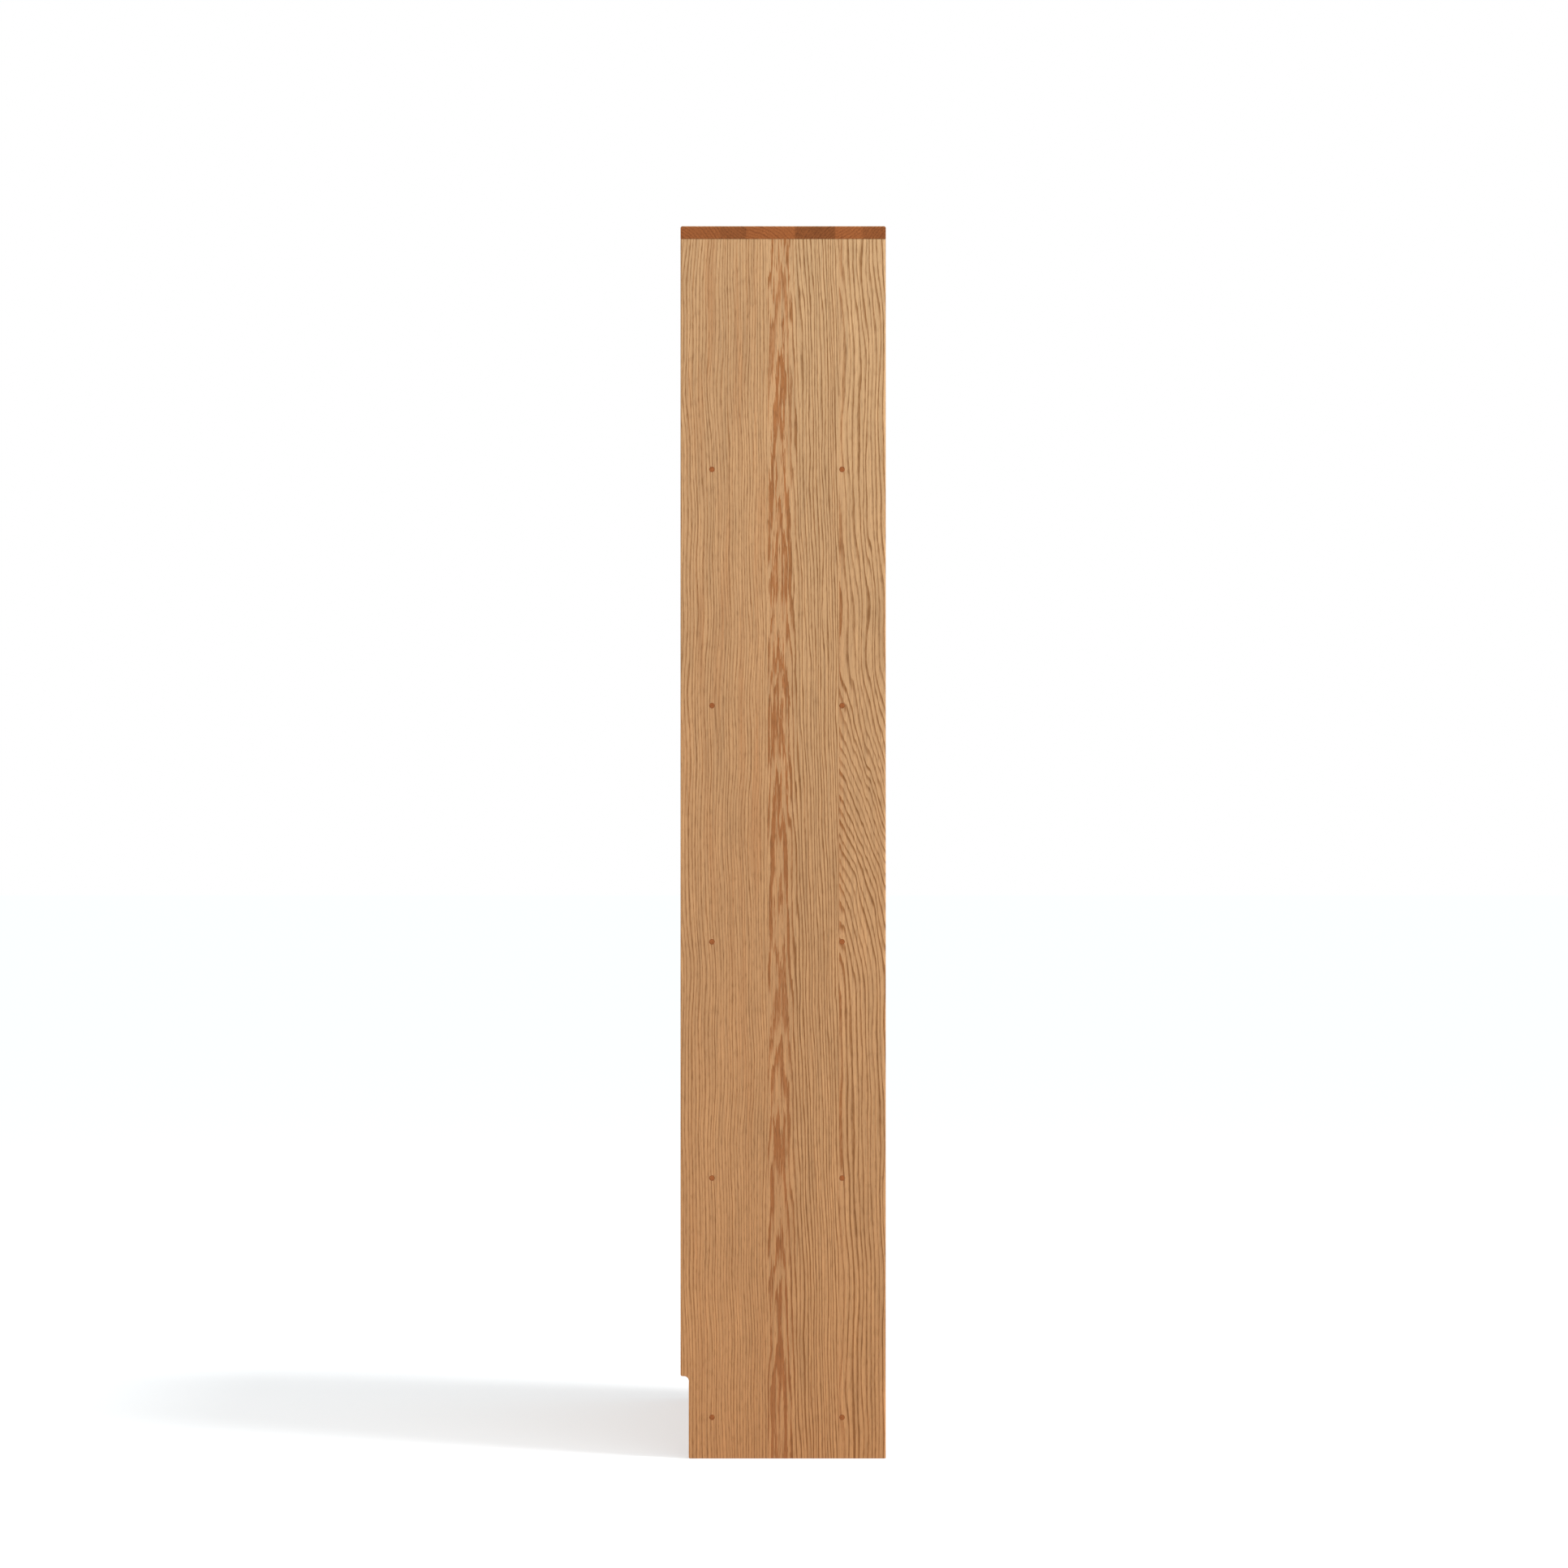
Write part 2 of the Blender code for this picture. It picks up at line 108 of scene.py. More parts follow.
# Catches, seen from the middle of the cabinet towards one side
POLE_OUT = 0.0130
POLE_RISE = 0.0018  # from the middle of a pair of pole plates to either of them
POLE_HALF = (0.0060, 0.0, 0.0007)
POLE_DEEP = 0.0038
POCKET_HALF = (0.0062, 0.0040, 0.0030)
CATCH_SCREW_OUT = 0.0195
CATCH_SCREW_BACK = 0.001
STRIKE_LEFT, STRIKE_RIGHT = 0.0050, 0.0210
STRIKE_DOWN, STRIKE_UP = 0.0060, 0.0125  # from the foot of the catch's reach
STRIKE_BELOW_POLES = 0.0055
STRIKE_BELOW_DOOR_TOP = 0.0135
STRIKE_SCREW_DOWN = 0.0015

# Camera
CAMERA_DISTANCE = 8.0  # from the left side panel
CAMERA_HEIGHT = 0.985
CAMERA_ASIDE = -0.0012
CAMERA_LENS, CAMERA_SENSOR = 125.76, 36.0  # in millimetres


# --- sizes and colours -----------------------------------------------------------------------------


def length(label, text, default):
    return FloatProperty(name=label, description=text, default=default, min=0.0, unit="LENGTH", precision=5)


def colour(label, text, default):
    return FloatVectorProperty(
        name=label, description=text, default=default, size=3, subtype="COLOR", min=0.0, max=1.0
    )


class PantrySizes(PropertyGroup):
    """Sizes of the small shapes that finish the cabinet's pieces."""

    arris: length("Arris", "Radius of the small rounding on the boards' edges", 0.0008)
    front_round: length("Front rounding", "Radius along the front edges of the carcass", 0.003)
    board_round: length("Board rounding", "Radius along the front edges of the shelves", 0.0016)
    rear_round: length("Rear rounding", "Radius along the rear edges of the side panels", 0.0018)
    seam: length("Seam", "Hairline between two boards that meet", 0.00012)
    notch_depth: length("Notch depth", "How far the skirting notch goes into a side panel", 0.012)
    notch_height: length("Notch height", "Height of the skirting notch", 0.120)
    notch_fillet: length("Notch fillet", "Radius in the notch's inner corner", 0.007)
    notch_lip: length("Notch lip", "Radius of the rear edge where the notch begins", 0.0025)
    peg_radius: length("Peg radius", "Radius of the wood pegs", 0.004)
    peg_chamfer: length("Peg chamfer", "Bevel round the end of a peg", 0.0003)
    peg_clearance: length("Peg clearance", "Dark line round a peg's end", 0.00012)
    finger_radius: length("Finger cut-out", "Radius of the half-moons in the meeting stiles", 0.022)
    hinge_round: length("Hinge rounding", "Radius of the door edge that swings past the side panel", 0.004)
    pin_radius: length("Pin radius", "Radius of the pivot pins", 0.003)
    pin_flange: length("Pin flange", "Radius of the pivot pins' flanges", 0.006)
    pin_clearance: length("Pin clearance", "Gap round a pivot pin in its bore", 0.0001)
    sheet: length("Steel sheet", "Thickness of the strike plates", 0.0012)
    back_board: length("Back board width", "Spacing of the vee grooves in the back", 0.0952)
    vee: length("Vee groove", "Depth of the grooves in the back", 0.0011)


class PantryFinish(PropertyGroup):
    """Colours of the cabinet's materials."""

    oak_light: colour("Oak, late wood", "Pale wood between the grain lines", (0.590, 0.368, 0.190))
    oak_line: colour("Oak, grain line", "Porous early wood that draws the grain", (0.290, 0.142, 0.054))
    oak_flame: colour("Oak, flame", "Early wood where the saw cut it flat", (0.335, 0.122, 0.036))
    oak_red: colour("Oak, heart", "Reddish tint that drifts through the boards", (0.440, 0.200, 0.080))
    oak_pore: colour("Oak, pores", "Open pores seen as short dark dashes", (0.200, 0.085, 0.030))
    # Painted shade: wood with upright grain is multiplied by this colour more and more towards the floor,
    # standing in for light that falls off lower down; boards whose grain runs across get half of it all over.
    oak_painted_shade: colour("Oak, warm end", "What the wood is multiplied by near the floor", (0.850, 0.670, 0.540))
    end_light: colour("End grain, light", "Late wood on a sawn end", (0.305, 0.098, 0.029))
    end_dark: colour("End grain, dark", "Early wood on a sawn end", (0.160, 0.044, 0.013))
    glass: colour("Glass", "Tint of the panes", (0.930, 0.970, 0.950))
    brass: colour("Brass", "Pivot pins", (0.600, 0.430, 0.180))
    steel: colour("Steel", "Strike plates, pole plates and screws", (0.520, 0.520, 0.510))
    housing: colour("Catch housing", "Moulded body of a magnetic catch", (0.250, 0.150, 0.080))
    floor: colour("Floor", "Studio floor", (0.855, 0.880, 0.890))
    glow: colour("Floor glow", "Light that the studio floor gives off", (0.435, 0.450, 0.460))


def sizes():
    return bpy.context.scene.pantry_sizes


def finish():
    return bpy.context.scene.pantry_finish


# --- shader expressions ----------------------------------------------------------------------------


class Value:
    """One output of a shader node. Arithmetic on it adds Math nodes to the same material."""

    def __init__(self, shader, socket):
        self.shader = shader
        self.socket = socket

    def _math(self, operation, *operands):
        return self.shader.add("ShaderNodeMath", {"operation": operation}, dict(enumerate(operands)))

    def __add__(self, other):
        return self._math("ADD", self, other)

    def __radd__(self, other):
        return self._math("ADD", other, self)

    def __sub__(self, other):
        return self._math("SUBTRACT", self, other)

    def __rsub__(self, other):
        return self._math("SUBTRACT", other, self)

    def __mul__(self, other):
        return self._math("MULTIPLY", self, other)

    def __rmul__(self, other):
        return self._math("MULTIPLY", other, self)

    def __truediv__(self, other):
        return self._math("DIVIDE", self, other)

    def __gt__(self, other):
        return self._math("GREATER_THAN", self, other)

    def __abs__(self):
        return self._math("ABSOLUTE", self)

    def fract(self):
        return self._math("FRACT", self)

    def floor(self):
        return self._math("FLOOR", self)

    def bearing(self, other):
        """The angle of the direction that runs this far one way and that far the other."""
        return self._math("ARCTAN2", self, other)

    def rise(self, low, high):
        """0 below low, 1 above high, and a smooth step between them."""
        settings = {"interpolation_type": "SMOOTHSTEP", "clamp": True}
        inputs = {"Value": self, "From Min": low, "From Max": high}
        return self.shader.add("ShaderNodeMapRange", settings, inputs)


class Shader:
    """The nodes of a material or a world: its one surface shader, and what feeds it."""

    def __init__(self, owner, surface="Principled BSDF"):
        self.owner = owner
        self.owner.use_nodes = True
        self.tree = self.owner.node_tree
        self.surface = self.tree.nodes[surface]

    def feed(self, socket, value):
        if isinstance(value, Value):
            self.tree.links.new(value.socket, socket)
        elif socket.type == "RGBA":
            socket.default_value = (*value[:3], 1.0)
        else:
            socket.default_value = value

    def add(self, kind, settings=None, inputs=None, output=0):
        """A new node: its settings are set first, then its sockets, by name or number."""
        node = self.tree.nodes.new(kind)
        for key, value in (settings or {}).items():
            setattr(node, key, value)
        for key, value in (inputs or {}).items():
            self.feed(node.inputs[key], value)
        return Value(self, node.outputs[output])

    def set(self, **inputs):
        """Sets or links sockets of the surface shader, named in words joined by underscores."""
        for key, value in inputs.items():
            self.feed(self.surface.inputs[key.replace("_", " ")], value)
        return self.owner

    def blend(self, output, factor, other):
        """Mixes the surface shader with another one before the output."""
        surface = Value(self, self.surface.outputs[0])
        mixed = self.add("ShaderNodeMixShader", {}, {0: factor, 1: surface, 2: other})
        self.feed(self.tree.nodes[output].inputs["Surface"], mixed)
        return self.owner

    def mix(self, factor, first, second, blend="MIX"):
        settings = {"data_type": "RGBA", "blend_type": blend, "clamp_factor": True}
        return self.add("ShaderNodeMix", settings, {0: factor, 6: first, 7: second}, 2)

    def vector(self, operation, first, second=(0.0, 0.0, 0.0), output=0):
        return self.add("ShaderNodeVectorMath", {"operation": operation}, {0: first, 1: second}, output)

    def split(self, vector):
        first = self.add("ShaderNodeSeparateXYZ", {}, {0: vector})
        return [Value(self, output) for output in first.socket.node.outputs]

    def join(self, x, y, z):
        return self.add("ShaderNodeCombineXYZ", {}, {0: x, 1: y, 2: z})

    def place(self):
        return self.add("ShaderNodeTexCoord", {}, {}, "Object")

    def noise(self, vector, stretch, detail=1.0, roughness=0.5):
        """Noise from 0 to 1 about a half; stretch is how many times it changes in a metre along each axis."""
        scaled = self.vector("MULTIPLY", vector, stretch)
        inputs = {"Vector": scaled, "Scale": 1.0, "Detail": detail, "Roughness": roughness}
        return self.add("ShaderNodeTexNoise", {}, inputs)

    def bump(self, height, distance, strength=1.0):
        return self.add("ShaderNodeBump", {}, {"Height": height, "Distance": distance, "Strength": strength})


# --- oak -------------------------------------------------------------------------------------------


class Stave(NamedTuple):
    """One board of a glued-up panel, cut from its own log. Sizes are in metres."""

    start: float  # where the stave begins, across the panel
    pith: tuple  # the log's heart: across the panel, and through its thickness
    ring: float = 0.0045  # width of a year's growth
    taper: float = 0.020  # how much the log narrows in a metre of length
    wander: float = 0.006  # how far the rings swell and shrink along the log
    ripple: float = 0.0020  # how far they wave from side to side
    jag: float = 0.0030  # how far single fibres stray
    tone: float = 0.0  # brighter above 0, darker below
    red: float = 0.3
    contrast: float = 1.0


class Bend(NamedTuple):
    """A slow bend of one stave's rings, which carries its grain lines sideways on the face."""

    stave: int
    low: float  # height at which it begins
    high: float  # height from which it is whole
    reach: float  # how far the rings have moved by then


class Grain:
    """Where a point lies in its log: its year ring, and how flat the saw cut that ring."""

    def __init__(self, shader, along, across, staves, bends):
        through = X + Y + Z - along - across
        place = shader.split(shader.place())
        self.shader = shader
        self.length, self.width, self.depth = place[along], place[across], place[through]
        self.steps = [self.width > stave.start for stave in staves[1:]]
        pith_across, pith_through, rings = self.by_stave([(*stave.pith, 1 / stave.ring) for stave in staves])
        taper, wander, ripple = self.by_stave([(s.taper, s.wander * 2, s.ripple * 2) for s in staves])
        self.tone, self.red, self.contrast = self.by_stave([(s.tone, s.red, s.contrast) for s in staves])
        shift, jag, _ = self.by_stave([(STAVE_SHIFT * number, s.jag, 0.0) for number, s in enumerate(staves)])
        self.point = shader.join(self.width, self.depth, self.length + shift)
        from_heart = self.width - pith_across
        into_log = self.depth - pith_through
        radius = shader.vector("LENGTH", shader.join(from_heart, into_log, 0.0), output="Value")
        self.bearing = from_heart.bearing(into_log)
        self.flat = 1.0 - (abs(from_heart) / radius).rise(0.25, 0.75)
        swell = (shader.noise(self.point, SWELLS, 1.0) - 0.5) * wander
        wave = (shader.noise(self.point, WAVES, 1.0) - 0.5) * ripple
        fibre = shader.noise(self.point, FIBRES, 3.0, 0.65) - 0.5
        fibre = fibre * (self.flat * 1.6 + 0.5) * jag
        stray = (wave + fibre) * (0.70 + self.length.rise(0.3, 1.1) * 0.30)
        reach = radius + swell + stray + self.length * taper
        for bend in bends:
            reach = reach + self.length.rise(bend.low, bend.high) * self.only(bend.stave) * bend.reach
        seasons = {"W": reach * SEASONS + shift, "Scale": 1.0}
        drift = shader.add("ShaderNodeTexNoise", {"noise_dimensions": "1D"}, seasons)
        self.year = reach * rings + drift * 0.7
        self.phase = 1.0 - self.year.fract()

    def by_stave(self, rows):
        """Three values that change from stave to stave: plain numbers where there is only one stave."""
        if not self.steps:
            return rows[0]
        total = rows[0]
        for step, before, after in zip(self.steps, rows, rows[1:]):
            change = Vector(after) - Vector(before)
            inputs = {0: step, 1: change, 2: total}
            total = self.shader.add("ShaderNodeVectorMath", {"operation": "MULTIPLY_ADD"}, inputs)
        return self.shader.split(total)

    def only(self, number):
        """1 on one stave and 0 on the others."""
        inside = self.steps[number - 1] if number else 1.0
        return inside - self.steps[number] if number < len(self.steps) else inside

    def early(self):
        """1 in the porous early wood: a sharp start, a slow end, and wider where the ring is cut flat."""
        number = {"W": self.year.floor()}
        strength = self.shader.add("ShaderNodeTexWhiteNoise", {"noise_dimensions": "1D"}, number)
        end = self.phase - self.flat * 0.16
        return self.phase.rise(0.02, 0.12) * (1.0 - end.rise(0.16, 0.56)) * (0.50 + strength * 0.50)


def oak(name, along, across, staves, bends=(), end=0.0):
    """Oak with its grain along one axis and its staves side by side across another.

    end is how strongly all faces look like end grain, from 0 to 1: sawn ends do in any case.
    """
    shader = Shader(bpy.data.materials.new(name))
    tones = finish()
    grain = Grain(shader, along, across, staves, bends)
    early = grain.early()
    threads = shader.noise(grain.point, THREADS, 3.0, 0.75)
    dashes = shader.noise(grain.point, PORES, 2.0, 0.6)
    pores = dashes.rise(0.50, 0.66) * (0.40 + early * 0.60)
    drift = shader.noise(grain.point, DRIFTS, 2.0)
    blush = shader.noise(grain.point, BLUSHES, 2.0)

    line = early * grain.contrast * (0.70 + dashes.rise(0.30, 0.58) * 0.30)
    tint = shader.mix(grain.flat, tones.oak_line, tones.oak_flame)
    long_grain = shader.mix(line, tones.oak_light, tint)
    # Painted shade: this weight runs from 1 at the floor to 0 at the top where the grain is upright, and is
    # 0.5 everywhere on other boards; the wood is multiplied by the painted shade colour by that much.
    painted_shade_weight = 1.0 - grain.length * (1 / HEIGHT) if along == Z else 0.5
    long_grain = shader.mix(painted_shade_weight, long_grain, shader.mix(1.0, long_grain, tones.oak_painted_shade, "MULTIPLY"))
    redness = (0.40 + blush.rise(0.48, 0.74) * 0.60) * grain.red + grain.flat * 0.25
    long_grain = shader.mix(redness, long_grain, tones.oak_red)
    long_grain = shader.mix(pores * 0.55, long_grain, tones.oak_pore)
    normal = shader.add("ShaderNodeTexCoord", {}, {}, "Normal")
    facing = abs(shader.split(normal)[along]).rise(0.55, 0.85)
    sawn = facing * (1.0 - end) + end
    spokes = shader.join(grain.bearing * RAYS, grain.year * 0.3, 0.0)
    rays = shader.add("ShaderNodeTexNoise", {"noise_dimensions": "2D"}, {"Vector": spokes})
    specks = shader.noise(grain.point, SPECKS, 1.0)
    sawn_tone = early * 0.55 + specks.rise(0.40, 0.75) * 0.30 + (0.5 - rays) * 1.5
    end_grain = shader.mix(sawn_tone, tones.end_light, tones.end_dark)
    colour_now = shader.mix(sawn, long_grain, end_grain)
    brightness = 1.0 + grain.tone * (0.5 + sawn * 0.5) + (drift - 0.5) * 0.22 + (threads - 0.5) * 0.95
    brightness = shader.join(brightness, brightness, brightness)
    base = shader.mix(1.0, colour_now, brightness, "MULTIPLY")

    height = 1.0 - pores * 0.8 - early * 0.25
    return shader.set(
        Base_Color=base,
        Roughness=0.50 + pores * 0.18 + sawn * 0.10 + (drift - 0.5) * 0.08,
        IOR=1.38,
        Specular_IOR_Level=0.2,
        Normal=shader.bump(height, 0.00022, 0.6),
    )


def draw_stave(rng, start, width, face):
    """A stave whose log's heart lies before or behind the panel's face, somewhere near the stave."""
    across = start + width * rng.uniform(-0.4, 1.4)
    through = face + rng.choice((-1, 1)) * rng.uniform(0.025, 0.075)
    return Stave(
        start=start,
        pith=(across, through),
        ring=rng.uniform(0.0036, 0.0052),
        taper=rng.uniform(0.010, 0.035) * rng.choice((-1, 1)),
        wander=rng.uniform(0.004, 0.012),
        tone=rng.uniform(-0.05, 0.05),
        red=rng.uniform(0.15, 0.55),
        contrast=rng.uniform(0.85, 1.30),
    )


def draw_staves(seed, low, high, width, face):
    """Staves of uneven width that fill a panel from low to high."""
    rng = random.Random(seed)
    staves = []
    start = low
    while start < high - width * NARROWEST:
        wide = width * rng.uniform(0.75, 1.25)
        staves.append(draw_stave(rng, start, wide, face))
        start += wide
    return staves


# --- other materials -------------------------------------------------------------------------------


def pane_glass():
    """Thin float glass that lets the lamps' light through, with faint smears."""
    tint = finish().glass
    shader = Shader(bpy.data.materials.new("float_glass"))
    smears = shader.noise(shader.place(), (9.0, 9.0, 3.0), 3.0).rise(0.40, 0.75)
    smeared = shader.mix(smears, tint, [part * 0.97 for part in tint])
    shader.set(Base_Color=smeared, Roughness=0.0, IOR=1.45, Transmission_Weight=1.0)
    lamps = shader.add("ShaderNodeLightPath", {}, {}, "Is Shadow Ray")
    clear = shader.add("ShaderNodeBsdfTransparent", {}, {"Color": tint})
    return shader.blend("Material Output", lamps, clear)


def metal(name, tint, roughness):
    """Turned or pressed metal with fine scratches and dull spots."""
    shader = Shader(bpy.data.materials.new(name))
    place = shader.place()
    scratches = shader.noise(place, (2600.0, 2600.0, 260.0), 2.0)
    spots = shader.noise(place, (240.0, 240.0, 240.0), 2.0)
    return shader.set(
        Base_Color=shader.mix(spots.rise(0.5, 0.8) * 0.35, tint, [part * 0.7 for part in tint]),
        Metallic=1.0,
        Roughness=roughness + (scratches - 0.5) * 0.22 + (spots - 0.5) * 0.12,
        Normal=shader.bump(scratches, 0.00003, 0.5),
    )


def moulded(name, tint):
    """Moulded plastic with a fine spark-eroded texture."""
    shader = Shader(bpy.data.materials.new(name))
    place = shader.place()
    pebble = shader.noise(place, (3200.0, 3200.0, 3200.0), 1.0)
    cloud = shader.noise(place, (120.0, 120.0, 120.0), 2.0)
    return shader.set(
        Base_Color=shader.mix(cloud, tint, [part * 0.82 for part in tint]),
        Roughness=0.42 + pebble * 0.16,
        Normal=shader.bump(pebble, 0.00006, 0.5),
    )


# --- modelling -------------------------------------------------------------------------------------


def select_only(obj):
    for other in bpy.context.selected_objects:
        other.select_set(False)
    obj.select_set(True)
    bpy.context.view_layer.objects.active = obj


def in_edit_mode(obj, operator, **settings):
    """Runs one edit-mode operator on the whole mesh."""
    select_only(obj)
    bpy.ops.object.mode_set(mode="EDIT")
    bpy.ops.mesh.select_all(action="SELECT")
    operator(**settings)
    bpy.ops.object.mode_set(mode="OBJECT")


def start_box(name, low, high):
    """A cube primitive drawn out to a board's size, its place in its mesh."""
    low, high = Vector(low), Vector(high)
    bpy.ops.mesh.primitive_cube_add(size=1.0, location=(low + high) / 2)
    board = bpy.context.object
    board.name = name
    board.scale = high - low
    bpy.ops.object.transform_apply(location=True, rotation=True, scale=True)
    return board


def start_round(name, centre, radius, depth, axis=Z, sides=32):
    """A cylinder primitive along an axis, its place in its mesh."""
    turns = ((0.0, math.pi / 2, 0.0), (math.pi / 2, 0.0, 0.0), (0.0, 0.0, 0.0))
    bpy.ops.mesh.primitive_cylinder_add(
        vertices=sides, radius=radius, depth=depth, location=centre, rotation=turns[axis]
    )
    rod = bpy.context.object
    rod.name = name
    bpy.ops.object.transform_apply(location=True, rotation=True, scale=True)
    return rod


def lies(a, b, planes, along):
    """Whether the edge from a to b lies in all the planes and runs along the axis, if one is given."""
    inside = all(abs(end[axis] - value) < TOUCH for axis, value in planes for end in (a, b))
    return inside and (along is None or abs(a[along] - b[along]) > 0.9 * (a - b).length)


def round_edges(obj, planes, along, radius, segments):
    """Rounds the edges that lie in all the planes, each an axis and a value, and run along an axis."""
    select_only(obj)
    mesh = obj.data
    bpy.context.tool_settings.mesh_select_mode = (False, True, False)
    for group in (mesh.vertices, mesh.edges, mesh.polygons):
        group.foreach_set("select", [False] * len(group))
    for edge in mesh.edges:
        ends = [mesh.vertices[index].co for index in edge.vertices]
        edge.select = lies(*ends, planes, along)
    bpy.ops.object.mode_set(mode="EDIT")
    bpy.ops.mesh.bevel(offset=radius, segments=segments, profile=0.5, affect="EDGES")
    bpy.ops.object.mode_set(mode="OBJECT")


def apply(obj, kind, **settings):
    """Adds a modifier to a piece and applies it at once."""
    select_only(obj)
    modifier = obj.modifiers.new(kind.lower(), kind)
    for key, value in settings.items():
        setattr(modifier, key, value)
    bpy.ops.object.modifier_apply(modifier=modifier.name)


def cut(obj, *cutters):
    """Cuts the shape of each cutter out of a piece, and removes the cutter."""
    for cutter in cutters:
        apply(obj, "BOOLEAN", operation="DIFFERENCE", solver="EXACT", object=cutter)
        bpy.data.objects.remove(cutter)


def soften(obj, radius, segments=2):
    """Rounds every sharp edge a little, as sandpaper does."""
    limits = {"limit_method": "ANGLE", "angle_limit": math.radians(35), "use_clamp_overlap": True}
    apply(obj, "BEVEL", width=radius, segments=segments, **limits)


def copies(shape, *places):
    """Copies of a shape, each with its own mesh; the shape itself is removed.

    A place is a name, how far the copy moves, and the axis along which it is mirrored first, or None.
    """
    twins = []
    for name, move, mirrored in places:
        select_only(shape)
        bpy.ops.object.duplicate(linked=False)
        twin = bpy.context.object
        twin.name = name
        twin.location = move
        if mirrored is not None:
            twin.scale[mirrored] = -1.0
        bpy.ops.object.transform_apply(location=True, rotation=True, scale=True)
        if mirrored is not None:
            in_edit_mode(twin, bpy.ops.mesh.normals_make_consistent, inside=False)
        twins.append(twin)
    bpy.data.objects.remove(shape)
    return twins


def left_and_right(shape, name):
    """A right-hand shape as two pieces, the left one mirrored. Gives a word and a piece for each side."""
    places = [(f"{name}_{word}", (0.0, 0.0, 0.0), X if side < 0 else None) for side, word in SIDES]
    return zip([word for _, word in SIDES], copies(shape, *places))


def complete(obj, material, body, slot, *nodes):
    """Gives a piece its shading and material, puts it on its body and hides the nodes that it stands for;
    slot is not used.
    """
    select_only(obj)
    bpy.ops.object.shade_smooth_by_angle(angle=math.radians(32))
    apply(obj, "WEIGHTED_NORMAL", keep_sharp=True, weight=60)
    obj.data.materials.clear()
    obj.data.materials.append(material)
    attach(obj, body)
    if nodes:
        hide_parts(*nodes)


# --- carcass ---------------------------------------------------------------------------------------


def left_staves():
    """The left side panel's staves, from the front edge to the rear."""
    return (
        Stave(
            start=FRONT,
            pith=(-0.071, -HALF_WIDTH - 0.024),
            ring=0.0056,
            taper=0.030,
            wander=0.014,
            ripple=0.0044,
            jag=0.0026,
            red=0.15,
            contrast=1.30,
        ),
        Stave(
            start=-0.0818,
            pith=(0.006, -HALF_WIDTH - 0.029),
            ring=0.0038,
            taper=0.024,
            wander=0.0045,
            ripple=0.0040,
            jag=0.0044,
            red=0.20,
            contrast=1.70,
        ),
        Stave(
            start=0.0225,
            pith=(0.235, -HALF_WIDTH + 0.060),
            ring=0.0040,
            taper=0.004,
            wander=0.012,
            ripple=0.0030,
            tone=0.02,
            red=0.60,
            contrast=1.20,
        ),
    )


def left_bends():
    """The slanting lines of the left panel's front stave: one long bend, and a slight one near the foot."""
    return (
        Bend(stave=0, low=0.70, high=1.16, reach=0.090),
        Bend(stave=0, low=0.05, high=0.30, reach=-0.012),
    )


def side_panels():
    """Both side panels, with their skirting notches, grooves for the back, and peg bores."""
    size = sizes()
    panel = start_box("side", (INNER_X, FRONT, 0.0), (HALF_WIDTH, REAR, TOP_UNDERSIDE - size.seam))
    round_edges(panel, [(Y, FRONT)], Z, size.front_round, 6)

    notch_y = REAR - size.notch_depth
    notch = start_box(
        "notch",
        (INNER_X - OVERRUN, notch_y, -OVERRUN),
        (HALF_WIDTH + OVERRUN, REAR + OVERRUN, size.notch_height),
    )
    round_edges(notch, [(Y, notch_y), (Z, size.notch_height)], X, size.notch_fillet, 8)
    cut(panel, notch)
    round_edges(panel, [(Y, REAR), (Z, size.notch_height)], X, size.notch_lip, 5)
    round_edges(panel, [(Y, notch_y), (Z, 0.0)], X, size.rear_round, 4)
    round_edges(panel, [(Y, REAR)], Z, size.rear_round, 4)
    soften(panel, size.arris)

    back_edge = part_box("back_panel")[1].x + size.seam
    back_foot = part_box("back_panel")[0].z - size.seam
    groove = start_box(
        "groove",
        (INNER_X - OVERRUN, BACK_FRONT - size.seam, back_foot),
        (back_edge, BACK_REAR + size.seam, HEIGHT),
    )
    cut(panel, groove)
    for level in LEVELS:
        cut_peg_bores(panel, level, INNER_X - OVERRUN, HALF_WIDTH + OVERRUN)
    right = oak("oak_right_side", Z, Y, draw_staves(SEED_SIDE, FRONT, REAR, SIDE_STAVE, HALF_WIDTH))
    left = oak("oak_left_side", Z, Y, left_staves(), left_bends())
    for (word, twin), material in zip(left_and_right(panel, "side"), (left, right)):
        complete(twin, material, CARCASS, "oak", f"side_panel_{word}")


def cut_peg_bores(board, level, start, end):
    """Bores for one level's pegs, from start to end across the cabinet: on the right side, or on both."""
    size = sizes()
    for place in ENDS:
        low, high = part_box(f"dowel_right_{level}_{place}")
        middle = Vector(((start + end) / 2, (low.y + high.y) / 2, (low.z + high.z) / 2))
        cut(board, start_round("bore", middle, size.peg_radius + size.peg_clearance, end - start, X))


def cut_pin_bores(board, face, into):
    """Bores for the two pivot pins that enter a board's face, upwards where into is 1."""
    size = sizes()
    low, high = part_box("upper_right_pivot_top")
    deep = high.z - TOP_UNDERSIDE + size.seam
    middle = face + into * (deep - OVERRUN) / 2
    for side, _ in SIDES:
        centre = (side * (low.x + high.x) / 2, (low.y + high.y) / 2, middle)
        cut(board, start_round("bore", centre, size.pin_radius + size.pin_clearance, deep + OVERRUN))


